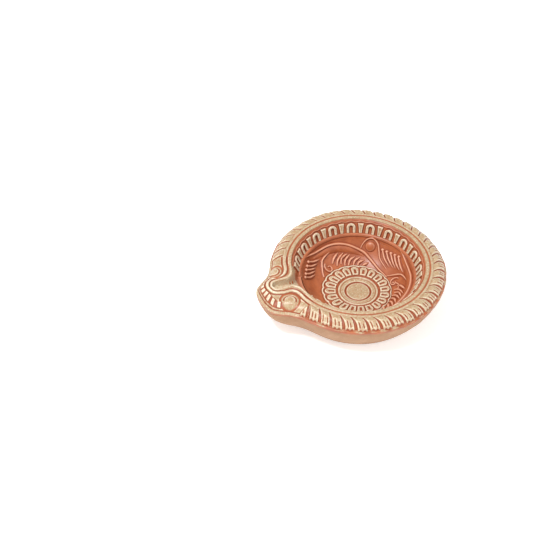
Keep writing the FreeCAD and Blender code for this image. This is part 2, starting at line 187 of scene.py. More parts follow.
def dish_profile():
    """The dish's inside from its centre to the crest, as (radius, height, along)."""
    arc_r = 20.0
    a = np.array([FLOOR_R, FLOOR_Z])
    b = np.array([LINE_R - 0.9, LINE_Z])
    mid, chord = (a + b) / 2, b - a
    off = math.sqrt(arc_r ** 2 - (chord @ chord) / 4)
    centre = mid + np.array([-chord[1], chord[0]]) / math.hypot(*chord) * off
    start = math.atan2(*(a - centre)[::-1])
    stop = math.atan2(*(b - centre)[::-1])
    turn = np.linspace(start, stop, 60)
    bowl = np.c_[centre[0] + arc_r * np.cos(turn), centre[1] + arc_r * np.sin(turn)]
    points = np.vstack([
        [[0, FLOOR_Z]], bowl, [[LINE_R, LINE_Z], [WALL_TOP_R - 0.25, CREST_Z - 0.55],
                               [WALL_TOP_R + 0.3, CREST_Z], [RIM, CREST_Z]],
    ])
    along = np.r_[0, np.cumsum(np.hypot(*np.diff(points, axis=0).T))]
    dense = np.linspace(0, along[-1], 3000)
    r = np.interp(dense, along, points[:, 0])
    z = np.interp(dense, along, points[:, 1])
    blur = np.hanning(61)
    blur /= blur.sum()
    pad = len(blur) // 2
    z = np.convolve(np.r_[np.full(pad, z[0]), z, np.full(pad, z[-1])], blur, "valid")
    r_in = np.r_[r[0] - (r[pad:0:-1] - r[0]), r, r[-1] + (r[-1] - r[-2:-pad - 2:-1])]
    r = np.convolve(r_in, blur, "valid")
    r[0] = 0.0
    z -= FLOOR_DIP * (1 - smooth(4.0, FLOOR_R, r))
    return r, z, dense


PROFILE_R, PROFILE_Z, PROFILE_S = dish_profile()


def along_at(radius):
    """Distance along the dish's profile at a radius."""
    return float(np.interp(radius, PROFILE_R, PROFILE_S))


def base_at(s):
    """Radius, height and unit normal of the plain dish at a distance along its profile."""
    r = np.interp(s, PROFILE_S, PROFILE_R)
    z = np.interp(s, PROFILE_S, PROFILE_Z)
    step = 0.15
    dr = np.interp(s + step, PROFILE_S, PROFILE_R) - np.interp(s - step, PROFILE_S, PROFILE_R)
    dz = np.interp(s + step, PROFILE_S, PROFILE_Z) - np.interp(s - step, PROFILE_S, PROFILE_Z)
    length = np.maximum(np.hypot(dr, dz), 1e-9)
    return r, z, -dz / length, dr / length


def dome(d):
    """Height of the rim at a distance in from the lamp's edge."""
    t = np.clip((d - 0.5) / 5.3, 0, 1)
    return EDGE_Z + (CREST_Z - EDGE_Z) * (1 - (1 - t) ** 2.3)


OUTLINE_ANGLES = np.linspace(-180, 180, 1441)
OUTLINE = np.c_[rim_outline(OUTLINE_ANGLES) * np.cos(np.radians(OUTLINE_ANGLES)),
                rim_outline(OUTLINE_ANGLES) * np.sin(np.radians(OUTLINE_ANGLES))]


def edge_distance(x, y, angle, r):
    """Distance in from the lamp's edge; exact near the spout, radial elsewhere."""
    d = rim_outline(angle) - r
    near = np.abs(wrapped(angle)) < 36
    if near.any():
        part = OUTLINE[np.abs(OUTLINE_ANGLES) < 50]
        best, _ = distance_to(x[near], y[near], part[::3])
        d[near] = np.where(d[near] < 0.02, 0.0, best)
    return d


# ----------------------------------------------------------------- the wick channel

CHANNEL_X = [26.5, 28.0, 29.5, 31.0, 33.0, 36.0, 39.3]
CHANNEL_W = [8.6, 6.8, 4.6, 3.0, 2.15, 2.1, 2.3]
CHANNEL_CAP = 39.3


def channel_distance(x, y):
    """Distance outside the wick channel's plan, less than 0 inside it."""
    side = np.abs(y) - np.interp(x, CHANNEL_X, CHANNEL_W)
    cap = np.hypot(x - CHANNEL_CAP, y) - CHANNEL_W[-1]
    return np.where(x > CHANNEL_CAP, cap, side)


def channel_floor(x):
    return np.interp(x, [26.0, 28.0, 30.0, 33.0, 38.0, 41.6], [13.2, 14.2, 15.8, 17.4, 18.0, 18.8])


# ----------------------------------------------------------------------- the relief
# Each function returns the relief's height over the plain clay in millimetres, and
# how much gold paint the high parts hold, from 0 to 1.

def medallion(r, angle):
    ring_in, ring_out = DISC_R + 0.7, RING_R - 0.1
    disc = 1 - smooth(DISC_R - 0.45, DISC_R - 0.05, r)
    ring = smooth(ring_in - 0.3, ring_in + 0.15, r) * (1 - smooth(ring_out - 0.15, ring_out + 0.2, r))
    fine = ridge(r, (ring_in + ring_out) / 2 + 0.35, 0.5)
    raised = disc * 0.55 + ring * (0.6 - 0.22 * fine)
    gilt = np.maximum(disc, ring * (1 - 0.5 * fine))
    f = wrapped(angle * PETALS) / PETALS                  # degrees from the petal's middle
    across = np.radians(f) * r
    inner, outer = RING_R + 0.95, PETAL_R + 0.6
    half = np.radians(180.0 / PETALS) * np.minimum(r, outer - 1.7) - 0.24
    head = outer - 1.75
    d_out = np.where(r > head, np.hypot(across, r - head) - half, np.abs(across) - half)
    d_out = np.maximum(d_out, inner - r)
    petal = 1 - smooth(-0.3, 0.12, d_out)
    slot_r = np.clip(r, inner + 1.3, head - 0.15)
    pit = 1 - smooth(0.34, 0.72, np.hypot(across, r - slot_r))
    raised += petal * (0.75 - 0.6 * pit)
    gilt = np.maximum(gilt, petal * (1 - pit))
    scallop = PETAL_R + 1.5 - 0.5 * (np.abs(f) * PETALS / 180.0) ** 2
    line = ridge(r, scallop, 0.85)
    raised = np.maximum(raised, line * 0.62)
    gilt = np.maximum(gilt, 0.9 * smooth(0.2, 0.7, line))
    return raised, gilt


def curl(middle_r, middle_angle, reach, loss, first, step, count):
    """A spiral's points as (radius, angle), from its outside to its eye."""
    points = []
    for k in range(count):
        turn = math.radians(first + step * k)
        out = reach - loss * k
        points.append((middle_r + out * math.cos(turn),
                       middle_angle + math.degrees(out * math.sin(turn) / middle_r)))
    return points


def vine_unit():
    """One unit of the bowl's ornament: (points, width, height, taper at each end)."""
    vine = [(26.1, -44), (25.1, -58), (24.8, -69), (24.8, -80), (24.5, -92), (23.8, -103),
            (22.8, -113), (21.7, -123), (20.2, -131), (18.5, -141), (17.0, -154), (16.5, -171)]
    collar = [(22.3, -118), (24.1, -120.5), (25.4, -125), (25.8, -131), (25.0, -137), (23.5, -140.5),
              (21.3, -145), (20.1, -151), (19.0, -161)]
    unit = [
        (vine, 1.6, 1.05, (0.6, 0.6)),
        ([(r - 1.2, a) for r, a in vine[1:8]], 3.8, 0.75, (0.3, 0.2)),
        ([(17.0, -186), (18.3, -190), (19.6, -197), (19.0, -204), (17.6, -203)], 0.9, 0.7, (0.8, 0.4)),
        ([(23.4, -88), (23.1, -81), (22.6, -73), (21.9, -66), (20.9, -62), (19.2, -57), (16.9, -50)],
         1.1, 0.95, (0.3, 0.6)),
        (curl(18.1, -69, 2.3, 0.14, 20, 28, 13), 0.85, 0.9, (0.8, 0.7)),
        (collar, 1.0, 0.9, (0.5, 0.4)),
    ]
    fan = [[(19.1, -78), (20.5, -82), (22.0, -90)], [(17.6, -83), (19.5, -87), (21.6, -97)],
           [(17.7, -90), (19.8, -93), (21.1, -102)], [(16.7, -95), (18.9, -98), (20.7, -105)],
           [(16.5, -101), (18.7, -105), (19.9, -112)], [(16.4, -109), (18.3, -112), (19.8, -119)],
           [(16.3, -116), (17.6, -118), (18.9, -125)], [(16.3, -124), (17.1, -127), (18.2, -132)]]
    for points in fan:
        unit.append((points, 1.45, 1.05, (0.6, 0.3)))
    for top_r, top_a, middle_r, middle_a, low_r, low_a in FEATHER:
        points = [(top_r, top_a), (middle_r, middle_a), (low_r, low_a)]
        unit.append((points, 1.15, 1.05, (0.9, 0.3)))
    return unit


# strokes of the feather: outer end, middle and inner end, as radius and angle
FEATHER = [
    (23.9, -144.5, 21.9, -151, 20.3, -162),
    (23.9, -150.0, 22.4, -156, 20.9, -167),
    (24.1, -155.5, 22.7, -162, 21.4, -171),
    (24.3, -161.0, 23.0, -167, 22.0, -177),
    (24.6, -166.5, 23.5, -173, 22.6, -183),
]
BOSS = (23.7, -129.5, 2.4)
BEADS = [(stroke[0], stroke[1], 0.85) for stroke in FEATHER]


def bowl(r, s, angle):
    """Vines, fans, spirals and bosses on the bowl's curved wall."""
    raised = np.zeros_like(r)
    whole = vine_unit()
    for step in range(VINES):
        turned = wrapped(angle + 360.0 / VINES * step)
        only_feather = step == VINES - 1                  # that unit has nothing else
        unit = whole[-len(FEATHER):] if only_feather else whole
        for points, width, high, taper in unit:
            mean_r = sum(p[0] for p in points) / len(points)
            middle = sum(p[1] for p in points) / len(points)
            flat = [(along_at(p[0]), math.radians(p[1] - middle) * mean_r) for p in points]
            line = curve_through(flat, 5)
            v = np.radians(wrapped(turned - middle)) * mean_r
            low, top = line.min(axis=0) - width, line.max(axis=0) + width
            near = (s > low[0]) & (s < top[0]) & (v > low[1]) & (v < top[1])
            d, t = distance_to(s[near], v[near], line)
            size = np.interp(t, [0, 0.35, 0.7, 1], [taper[0], 1, 1, taper[1]])
            lift = high * size * np.clip(1 - (2 * d / (width * size)) ** 2, 0, 1) ** 0.7
            raised[near] = np.maximum(raised[near], lift)
        for ball_r, ball_a, radius in BEADS + ([] if only_feather else [BOSS]):
            v = np.radians(wrapped(turned - ball_a)) * ball_r
            d = np.hypot(s - along_at(ball_r), v)
            lift = 0.95 * radius ** 0.3 * np.sqrt(np.clip(1 - (d / radius) ** 2, 0, 1))
            raised = np.maximum(raised, lift)
    # the strip in front of the wick channel stays plain
    plain = 1 - (1 - smooth(12, 20, np.abs(wrapped(angle - 10)))) * smooth(18.5, 20.0, r)
    return raised * plain * smooth(FLOOR_R, FLOOR_R + 0.4, r)


def arcade(s, angle):
    """Arches and plain pillars by turns on the steep wall, under a scalloped edge."""
    low, high = along_at(LINE_R - 0.2), along_at(WALL_TOP_R + 0.2)
    tall = high - low
    up = s - low
    pitch = (360.0 - 2 * ARCADE_START) / ARCHES
    from_arch = wrapped((angle + ARCADE_TURN - ARCADE_START - pitch / 2) * 360 / pitch)
    across = np.radians(from_arch / 360 * pitch) * ARCADE_R
    spring, outer, inner = 0.46 * tall, 2.3, 0.85
    reach = np.where(up > spring, np.hypot(across, (up - spring) * 1.12), np.abs(across))
    foot = smooth(0.25, 0.6, up)
    arch = (1 - smooth(outer - 0.35, outer, reach)) * smooth(inner - 0.15, inner + 0.2, reach) * foot
    pit = (1 - smooth(inner - 0.4, inner, reach)) * foot
    beside = np.radians(wrapped(from_arch + 180) / 360 * pitch) * ARCADE_R
    half = np.interp(up, [0, spring, spring + 2], [0.75, 1.1, 1.45])
    pillar = (1 - smooth(half - 0.3, half + 0.05, np.abs(beside))) * foot
    pillar *= 1 - smooth(0.7 * tall, 0.8 * tall, up)
    scallop = 0.88 * tall - 0.2 * (1 - np.cos(np.radians(2 * from_arch)))
    line = ridge(up, scallop, 0.6)
    fade = smooth(ARCADE_START - 4, ARCADE_START, np.abs(wrapped(angle)))
    raised = (0.85 * arch + 0.85 * pillar + 0.4 * line - 0.15 * pit) * fade
    near_spout = (1 - fade) * smooth(0.35 * tall, 0.6 * tall, up)
    gilt = np.clip(arch + pillar + 0.25 * line, 0, 1) * fade + 0.7 * near_spout
    return raised, gilt


def leaf_band(d, angle, r):
    """Slanted leaves on the rim's dome, with veins in their outer parts."""
    q = np.clip((6.2 - d) / 5.65, 0, 1)                   # 0 at the crest, 1 at the lip
    skew = 4.6 * (1 - (1 - q) ** 1.7)
    pitch = (360.0 - 2 * LEAF_START) / LEAVES
    place = ((angle - skew - LEAF_START + 1.5 + 360.0) % 360.0) / pitch
    f = place % 1.0
    number = np.floor(place)
    width = np.radians(pitch) * r
    to_groove = np.minimum(f, 1 - f) * width
    opening = (0.42 + 0.5 * smooth(0.1, 0.8, q)) * (0.85 + 0.2 * np.sin(number * 2.4))
    groove = (1 - smooth(opening * 0.45, opening + 0.15, to_groove)) * smooth(0.0, 0.1, q)
    swell = np.sqrt(np.clip(np.sin(np.pi * f), 0, 1))
    vein = np.zeros_like(f)
    for place_f, start in ((0.34, 0.42), (0.64, 0.5)):
        shift = place_f + 0.05 * np.sin(number * 1.7 + place_f * 9)
        first = start + 0.06 * np.sin(number * 3.1 + place_f * 20)
        vein = np.maximum(vein, (1 - smooth(0.16, 0.42, np.abs(f - shift) * width))
                          * smooth(first, first + 0.16, q) * (1 - smooth(0.82, 0.92, q)))
    lobe = 0.03 * np.cos(f * 2 * np.pi * 3)
    body = 1 - smooth(0.9, 0.98, q + lobe + 0.02 * np.sin(number * 2.9))
    raised = body * (0.35 + 0.65 * swell * smooth(0.0, 0.5, q)) * (1 - groove) - 0.35 * vein * body
    gilt = body * (1 - groove) * (1 - 0.55 * vein)
    return raised, gilt


def spout_lines(x, y):
    """Distance from the two U lines round the wick channel."""
    inner = [(27.6, 13.6), (28.7, 10.5), (29.7, 7.2), (30.9, 4.7), (33.0, 3.0), (36.0, 2.75),
             (39.2, 2.75), (41.1, 1.95), (41.95, 0.0)]
    outer = [(27.8, 19.4), (29.6, 15.6), (31.0, 12.0), (31.9, 8.6), (33.2, 6.3), (35.2, 5.2),
             (38.2, 5.2), (41.6, 4.0), (43.1, 2.0), (43.5, 0.0)]
    return [distance_to(x, np.abs(y), curve_through(points, 6))[0] for points in (inner, outer)]


def volute(x, y):
    """A domed scroll on each side of the wick channel: relief, gold, mask and moat."""
    near = y > 0                                          # that side's scroll is the larger
    dx, dy = x - VOLUTE_X, np.abs(y) - (VOLUTE_Y + np.where(near, 1.5, -0.3))
    reach, turn = np.hypot(dx, dy), np.arctan2(dy, dx)
    radius = np.where(near, 3.95, 3.6)
    body = 1 - smooth(radius - 0.3, radius + 0.05, reach)
    ball = np.sqrt(np.clip(1 - (reach / (radius + 0.1)) ** 2, 0, 1))
    cut = 1 - smooth(0.2, 0.5, np.abs(reach - radius * 0.7))
    cut *= 1 - smooth(-0.1, 0.5, np.sin(turn + 0.5))
    moat = 1 - smooth(0.25, 0.6, np.abs(reach - radius - 0.35))
    raised = body * (1.2 * ball - 0.5 - 0.4 * cut)
    return raised, body * (1 - 0.75 * cut), body, moat


def rim(x, y, r, angle, d):
    """Everything outside the arcade: crest, leaves, lip, and the spout's ornament."""
    away = np.abs(wrapped(angle))
    on_dish = smooth(LEAF_START - 2.5, LEAF_START - 0.5, away + 0.3 * (r - 36))
    leaves, leaf_gilt = leaf_band(d, angle, r)
    raised, gilt = leaves * on_dish, leaf_gilt * on_dish
    # the crest: a rounded ledge, a groove, and a plain band that the leaves grow from
    inside = 1 - smooth(5.6, 6.3, d)
    groove = 1 - smooth(0.16, 0.5, np.abs(r - LEDGE_R - 0.25))
    ledge = ridge(r, LEDGE_R - 1.0, 2.2)
    band = smooth(LEDGE_R + 0.3, LEDGE_R + 0.8, r) * (1 - inside)
    on_crest = smooth(14.0, 20.0, away)
    crest = np.maximum(0.55 * band, 0.68 * ledge) * (1 - groove) * on_crest
    raised = np.maximum(raised, crest)
    crest_gilt = np.maximum(band, smooth(0.1, 0.5, ledge)) * on_crest
    gilt = np.maximum(gilt, crest_gilt) * (1 - groove * on_crest)
    near = away < 40
    nx, ny, nd = x[near], y[near], d[near]
    inner, outer = spout_lines(nx, ny)
    line = np.maximum(ridge(inner, 0, 1.5), ridge(outer, 0, 1.6))
    part, part_gilt = raised[near], gilt[near]
    field = (1 - on_dish[near]) * smooth(1.1, 1.6, nd)
    scroll, scroll_gilt, body, moat = volute(nx, ny)
    groove_out = (1 - smooth(0.2, 0.5, np.abs(outer - 1.15))) * (1 - body) * field
    groove_in = (1 - smooth(0.15, 0.4, np.abs(inner - 1.2))) * (1 - body) * (r[near] > 31)
    part = np.maximum(part, 0.3 * field) * (1 - body)
    part = np.maximum(part * (1 - groove_out), 0.7 * line * (1 - body) * smooth(0.8, 1.4, nd))
    part = part * (1 - moat) * (1 - body) - 0.15 * moat + scroll
    part_gilt = np.maximum(part_gilt, field) * (1 - body) * (1 - groove_out)
    part_gilt = np.maximum(part_gilt * (1 - 0.6 * groove_in), smooth(0.15, 0.5, line) * (1 - body))
    part_gilt = np.maximum(part_gilt * (1 - 0.8 * moat), scroll_gilt)
    # blocks like teeth between the outer U line and the edge
    turn = np.degrees(np.arctan2(ny, nx - TOOTH_X))
    across = np.radians(wrapped(turn * TEETH_A_TURN) / TEETH_A_TURN) * np.hypot(nx - TOOTH_X, ny)
    block = 1 - smooth(0.62, 0.88, np.abs(across))
    block *= smooth(1.9, 2.25, nd) * (1 - smooth(4.1, 4.5, nd))
    zone = (1 - smooth(68, 73, np.abs(turn))) * smooth(1.3, 1.6, outer) * (1 - body)
    zone *= smooth(1.6, 1.9, nd) * (1 - smooth(4.4, 4.8, nd))
    part = part * (1 - zone) + 0.65 * block * zone
    part_gilt = part_gilt * (1 - zone) + block * zone
    raised[near], gilt[near] = part, part_gilt
    lip = ridge(d, 0.5, 1.2)
    on_spout = 1 - smooth(20, 30, away)
    raised = np.maximum(raised, (0.35 + 0.1 * on_spout) * lip)
    patches = 0.4 + 0.35 * grain(x, y, 7, 1.1)
    gilt = np.maximum(gilt, smooth(0.2, 0.7, lip) * np.clip(patches + 0.6 * on_spout, 0, 1))
    return raised, gilt


# ------------------------------------------------------------------- mesh building

def running_mean(values, width, wrap):
    """Mean over a window of width samples along the last axis."""
    half = max(int(round(width)) // 2, 1)
    left = values[..., -half:] if wrap else np.repeat(values[..., :1], half, -1)
    right = values[..., :half] if wrap else np.repeat(values[..., -1:], half, -1)
    padded = np.concatenate([left, values, right], -1)
    total = np.concatenate([np.zeros(padded.shape[:-1] + (1,)), np.cumsum(padded, -1)], -1)
    window = 2 * half + 1
    return (total[..., window:] - total[..., :-window]) / window


def hollows(raised, row_step, r, angle_step):
    """How deep each point lies between its neighbours, from 0 to 1, and how proud; the materials paint
    shade into the hollows and a highlight onto the proud parts.
    """
    down = running_mean(raised.T, 1.2 / row_step, False).T
    mean = np.empty_like(down)
    for k in range(len(down)):
        samples = 1.2 / max(float(np.mean(r[k])) * math.radians(angle_step), 1e-3)
        mean[k] = running_mean(down[k], min(samples, 400), True)
    return np.clip((mean - raised) / 0.3, 0, 1), np.clip((raised - mean) / 0.3, 0, 1)


def build_mesh(name, points, quads, uv, layers, caps=()):
    mesh = bpy.data.meshes.new(name)
    mesh.vertices.add(len(points))
    mesh.vertices.foreach_set("co", (points / MM).astype(np.float32).ravel())
    sizes = np.r_[np.full(len(quads), 4), [len(c) for c in caps]].astype(int)
    corners = np.concatenate([quads.ravel()] + [np.asarray(c) for c in caps])
    mesh.loops.add(int(sizes.sum()))
    mesh.loops.foreach_set("vertex_index", corners.astype(np.int32))
    mesh.polygons.add(len(sizes))
    mesh.polygons.foreach_set("loop_start", np.r_[0, np.cumsum(sizes)[:-1]].astype(np.int32))
    mesh.update(calc_edges=True)
    mesh.polygons.foreach_set("use_smooth", np.ones(len(sizes), bool))
    for label, values in layers.items():
        layer = mesh.attributes.new(label, "FLOAT", "POINT")
        layer.data.foreach_set("value", values.astype(np.float32).ravel())
    sheet = mesh.uv_layers.new(name="OFBake")
    spare = np.full((int(sizes.sum()) - 4 * len(quads), 2), 0.995)
    sheet.data.foreach_set("uv", np.vstack([uv.reshape(-1, 2), spare]).astype(np.float32).ravel())
    mesh.validate()
    piece = bpy.data.objects.new(name, mesh)
    bpy.context.scene.collection.objects.link(piece)
    return piece


def grid_faces(rows, cols, steps, offset, flip, bands, v_low, v_high):
    """Quads of a grid, with a layout that folds the long way round into bands."""
    r0, c0 = [g.ravel() for g in np.meshgrid(np.arange(rows - 1), np.arange(steps), indexing="ij")]
    c1 = (c0 + 1) % cols
    corners = [(r0, c0, 0, 0), (r0 + 1, c0, 1, 0), (r0 + 1, c1, 1, 1), (r0, c1, 0, 1)]
    if flip:
        corners = corners[::-1]
    faces = np.stack([r * cols + c for r, c, _, _ in corners], -1) + offset
    share = steps / bands
    band = np.floor(c0 / share)
    u = np.stack([(c0 - band * share + step) / share for _, _, _, step in corners], -1)
    v = np.stack([(band + 0.02 + 0.96 * (r0 + down) / (rows - 1)) / bands
                  for _, _, down, _ in corners], -1)
    return faces, np.stack([0.004 + 0.99 * np.clip(u, 0, 1), v_low + (v_high - v_low) * v], -1)


def shell(name, top, under, layers, closed_ring, bands):
    """A closed piece from a grid of top points [row, column] and a coarser grid under it."""
    rows, cols = top.shape[:2]
    low_rows = len(under)
    points = np.vstack([top.reshape(-1, 3), under.reshape(-1, 3)])
    base = rows * cols
    steps = cols if closed_ring else cols - 1
    upper, upper_uv = grid_faces(rows, cols, steps, 0, False, bands, 0.0, 0.93)
    lower, lower_uv = grid_faces(low_rows, cols, steps, base, True, bands, 0.94, 0.99)
    col = np.arange(steps)
    nxt = (col + 1) % cols
    last, low_last = (rows - 1) * cols, base + (low_rows - 1) * cols
    inner = np.stack([col, nxt, nxt + base, col + base], -1)
    outer = np.stack([last + col, low_last + col, low_last + nxt, last + nxt], -1)
    quads = [upper, lower, inner, outer]
    caps = []
    if not closed_ring:
        for side in (0, cols - 1):
            down = list(range(side, base, cols))
            back = list(range(base + side, len(points), cols))[::-1]
            caps.append(down + back if side else (down + back)[::-1])
    uv = [upper_uv, lower_uv, np.full(inner.shape + (2,), 0.993), np.full(outer.shape + (2,), 0.993)]
    spread = {key: np.r_[values.ravel(), np.zeros(low_rows * cols)] for key, values in layers.items()}
    return build_mesh(name, points, np.vstack(quads), np.concatenate(uv), spread, caps)


def lower_into_channel(points, gilt):
    """Cut the wick channel down through whatever crosses it."""
    x, y, z = points[..., 0], points[..., 1], points[..., 2]
    out = channel_distance(x, y)
    bed = channel_floor(x) + 9.0 * smooth(-0.8, 1.1, out)
    inside = (x > 24) & (bed < z)
    z[inside] = bed[inside]
    gilt[inside] = np.maximum(gilt[inside] * 0.2, 0.95 * smooth(27, 29, x[inside]))
    return inside


class Field:
    """The relief worked out on a grid, from which pieces are cut by rows and columns."""

    def __init__(self, cols):
        self.angle = np.linspace(0, 360, cols, endpoint=False)

    def finish_field(self, top, under, raised, gilt, row_step, r):
        self.hollow, self.proud = hollows(raised, row_step, r, 360.0 / len(self.angle))
        in_channel = lower_into_channel(top, gilt)
        # the wick channel gets less painted shade and a painted highlight all over, to lighten it
        self.hollow[in_channel] *= 0.3
        self.proud[in_channel] = 0.35
        self.top, self.gilt = top, gilt * (1 - 0.75 * self.hollow)
        under[..., 2] = np.minimum(under[..., 2], top[..., 2] - 0.4)
        self.under = under

    def cut(self, name, rows, step=1, first=None, last=None, bands=4):
        """A piece from a slice of rows, every step-th column, in a range of angles."""
        count = len(self.angle)
        cols = np.arange(0, count, step)
        if first is not None:
            cols = np.arange(round(first * count / 360), round(last * count / 360) + 1, step) % count
        pick = np.ix_(np.arange(rows.start, rows.stop), cols)
        coarse = np.unique(np.r_[np.arange(rows.start, rows.stop, 10), rows.stop - 1])
        layers = {"gilt": self.gilt[pick], "hollow": self.hollow[pick], "proud": self.proud[pick]}
        return shell(name, self.top[pick], self.under[np.ix_(coarse, cols)], layers,
                     first is None, bands)


def dish_field(cols, row_step):
    """The dish's inside from its centre to the crest."""
    field = Field(cols)
    field.s = np.arange(0.02, along_at(WALL_TOP_R + 0.45), row_step)
    s, angle = np.meshgrid(field.s, field.angle, indexing="ij")
    r, z, nr, nz = base_at(s)
    raised, gilt = medallion(r, angle)
    flat = 1 - smooth(FLOOR_R + 0.1, FLOOR_R + 0.4, r)
    raised, gilt = raised * flat, gilt * flat
    vines = bowl(r, s, angle)
    line = ridge(s, along_at(LINE_R - 0.9), 1.9)
    wall, wall_gilt = arcade(s, angle)
    on_wall = smooth(along_at(LINE_R - 0.2), along_at(LINE_R), s)
    raised = np.maximum(raised, np.maximum(vines, 0.6 * line)) + wall * on_wall
    gilt = np.maximum(gilt, wall_gilt * on_wall)
    t = np.radians(angle)
    raised += 0.04 * grain(r * np.cos(t), r * np.sin(t), 4, 1.6)
    # the medallion was pressed a little off the middle
    shift = MEDALLION_SHIFT * (1 - smooth(12, 18, r))
    rr, zz = r + nr * raised, z + nz * raised
    ur, uz = r - nr * SKIN, z - nz * SKIN
    way = np.radians(MEDALLION_WAY)
    dx, dy = shift * math.cos(way), shift * math.sin(way)
    top = np.stack([rr * np.cos(t) + dx, rr * np.sin(t) + dy, zz], -1)
    under = np.stack([ur * np.cos(t) + dx, ur * np.sin(t) + dy, uz], -1)
    field.finish_field(top, under, raised, gilt, row_step, r)
    return field


def rim_field(cols, rows):
    """The rim and the spout, from the crest's inner edge out to the lip."""
    field = Field(cols)
    edge = rim_outline(field.angle)
    inner = WALL_TOP_R + 0.3
    r = inner + (edge - inner) * np.linspace(0, 1, rows)[:, None]
    angle = np.broadcast_to(field.angle, r.shape)
    t = np.radians(angle)
    x, y = r * np.cos(t), r * np.sin(t)
    d = edge_distance(x, y, angle, r)
    raised, gilt = rim(x, y, r, angle, d)
    raised += 0.04 * grain(x, y, 4, 1.6) * smooth(0.2, 1.0, d)
    z = np.minimum(dome(d) + raised, TOP_Z - 0.02)
    top = np.stack([x, y, z], -1)
    under = np.stack([x, y, dome(d) - SKIN], -1)
    field.finish_field(top, under, raised, gilt, (RIM - inner) / rows, r)
    field.proud *= 0.35 + 0.65 * smooth(0.9, 1.5, d)      # the lip gets less painted highlight
    return field


def clay_wall(cols):
    """The dish's outside: base, foot, tapering wall and edge, with a hidden top."""
    angle = np.linspace(-180, 180, cols, endpoint=False)
    t = np.radians(angle)
    foot, edge = foot_outline(angle), rim_outline(angle)
    bulge = 1.55 + 0.5 / (1 + (np.abs(wrapped(angle)) / 22.0) ** 4)
    rings = [(foot * 0 + 0.05, 0.25), (foot * 0.55, 0.25), (foot * 0.9, 0.2), (foot - 1.6, 0.12),
             (foot - 0.9, 0.0), (foot - 0.35, 0.04), (foot - 0.08, 0.28), (foot + 0.12, 0.7)]
    wall_start = len(rings) + 1
    for share in np.linspace(0.07, 1.0, 46):
        grown = 1 - (1 - share) ** bulge
        rings.append((foot + (edge - foot) * grown, EDGE_Z * share))
    wall_end = len(rings)
    rings += [(edge - 0.02, EDGE_Z + 0.12), (edge - 0.14, EDGE_Z + 0.22), (edge - 0.5, EDGE_Z + 0.1)]
    for back in (2.0, 4.0, 6.0):
        rings.append((edge - back, dome(back) - SKIN - 0.3))
    r, z, nr, nz = base_at(np.linspace(along_at(WALL_TOP_R), along_at(0.05), 30))
    for k in range(len(r)):
        rings.append((np.full(cols, r[k] - nr[k] * (SKIN + 0.4)), z[k] - nz[k] * (SKIN + 0.4)))
    radius = np.array([ring[0] for ring in rings])
    height = np.array([np.broadcast_to(ring[1], (cols,)) for ring in rings])
    points = np.stack([radius * np.cos(t), radius * np.sin(t), height], -1)
    rough = 0.05 + 0.05 * grain(points[..., 0] * 0.7, points[..., 1] * 0.7 + points[..., 2], 9, 3.0)
    wall = slice(wall_start, wall_end)
    points[wall, :, 0] -= (rough * np.cos(t))[wall]
    points[wall, :, 1] -= (rough * np.sin(t))[wall]
    channel = (points[..., 0] > 22) & (channel_distance(points[..., 0], points[..., 1]) < 1.6)
    channel[:wall_end + 2] = False
    bed = channel_floor(points[..., 0]) - 1.2
    points[..., 2][channel] = np.minimum(points[..., 2], bed)[channel]
    rows = len(rings)
    quads, uv = grid_faces(rows, cols, cols, 0, True, 2, 0.0, 0.99)
    gilt = np.zeros((rows, cols))
    brushed = np.array([0.05, 0.15, 0.3, 0.45, 0.5, 0.5, 0.5])
    gilt[wall_end - 3:wall_end + 4] = brushed[:, None]    # gold spilled over the edge
    caps = [list(range(cols))[::-1], list(range((rows - 1) * cols, rows * cols))]
    none = np.zeros((rows, cols))
    return build_mesh("dish_wall", points.reshape(-1, 3), quads, uv,
                      {"gilt": gilt, "hollow": none, "proud": none}, caps)


# ----------------------------------------------------------------------- materials

def linear(red, green, blue):
    """A display colour, 0 to 255, as the linear colour that shaders take."""
    parts = [c / 255.0 for c in (red, green, blue)]
    return tuple(c / 12.92 if c <= 0.04045 else ((c + 0.055) / 1.055) ** 2.4 for c in parts) + (1.0,)


class Nodes:
    """A small helper that adds and joins the nodes of one material."""

    def __init__(self, name):
        self.material = bpy.data.materials.new(name)
        self.material.use_nodes = True
        self.tree = self.material.node_tree
        self.shader = self.tree.nodes["Principled BSDF"]
        self.place = self.add("ShaderNodeTexCoord").outputs["Object"]

    def add(self, kind, **settings):
        node = self.tree.nodes.new(kind)
        for key, value in settings.items():
            setattr(node, key, value)
        return node

    def join(self, source, target):
        self.tree.links.new(source, target)

    def layer(self, name):
        return self.add("ShaderNodeAttribute", attribute_name=name).outputs["Fac"]

    def noise(self, scale, detail=4.0, roughness=0.6):
        node = self.add("ShaderNodeTexNoise")
        self.join(self.place, node.inputs["Vector"])
        node.inputs["Scale"].default_value = scale
        node.inputs["Detail"].default_value = detail
        node.inputs["Roughness"].default_value = roughness
        return node.outputs["Fac"]

    def ramp(self, value, low, high, start=0.0, stop=1.0):
        node = self.add("ShaderNodeMapRange")
        self.join(value, node.inputs["Value"])
        for name, number in zip(("From Min", "From Max", "To Min", "To Max"), (low, high, start, stop)):
            node.inputs[name].default_value = number
        return node.outputs["Result"]

    def maths(self, operation, first, second):
        node = self.add("ShaderNodeMath", operation=operation, use_clamp=True)
        for socket, value in zip(node.inputs, (first, second)):
            if isinstance(value, (int, float)):
                socket.default_value = value
            else:
                self.join(value, socket)
        return node.outputs["Value"]

    def mix(self, share, first, second):
        node = self.add("ShaderNodeMix", data_type="RGBA")
        self.join(share, node.inputs["Factor"])
        for socket, value in ((node.inputs[6], first), (node.inputs[7], second)):
            if isinstance(value, tuple):
                socket.default_value = value
            else:
                self.join(value, socket)
        return node.outputs[2]

    def bump(self, height, strength, distance):
        node = self.add("ShaderNodeBump")
        self.join(height, node.inputs["Height"])
        node.inputs["Strength"].default_value = strength
        node.inputs["Distance"].default_value = distance
        self.join(node.outputs["Normal"], self.shader.inputs["Normal"])


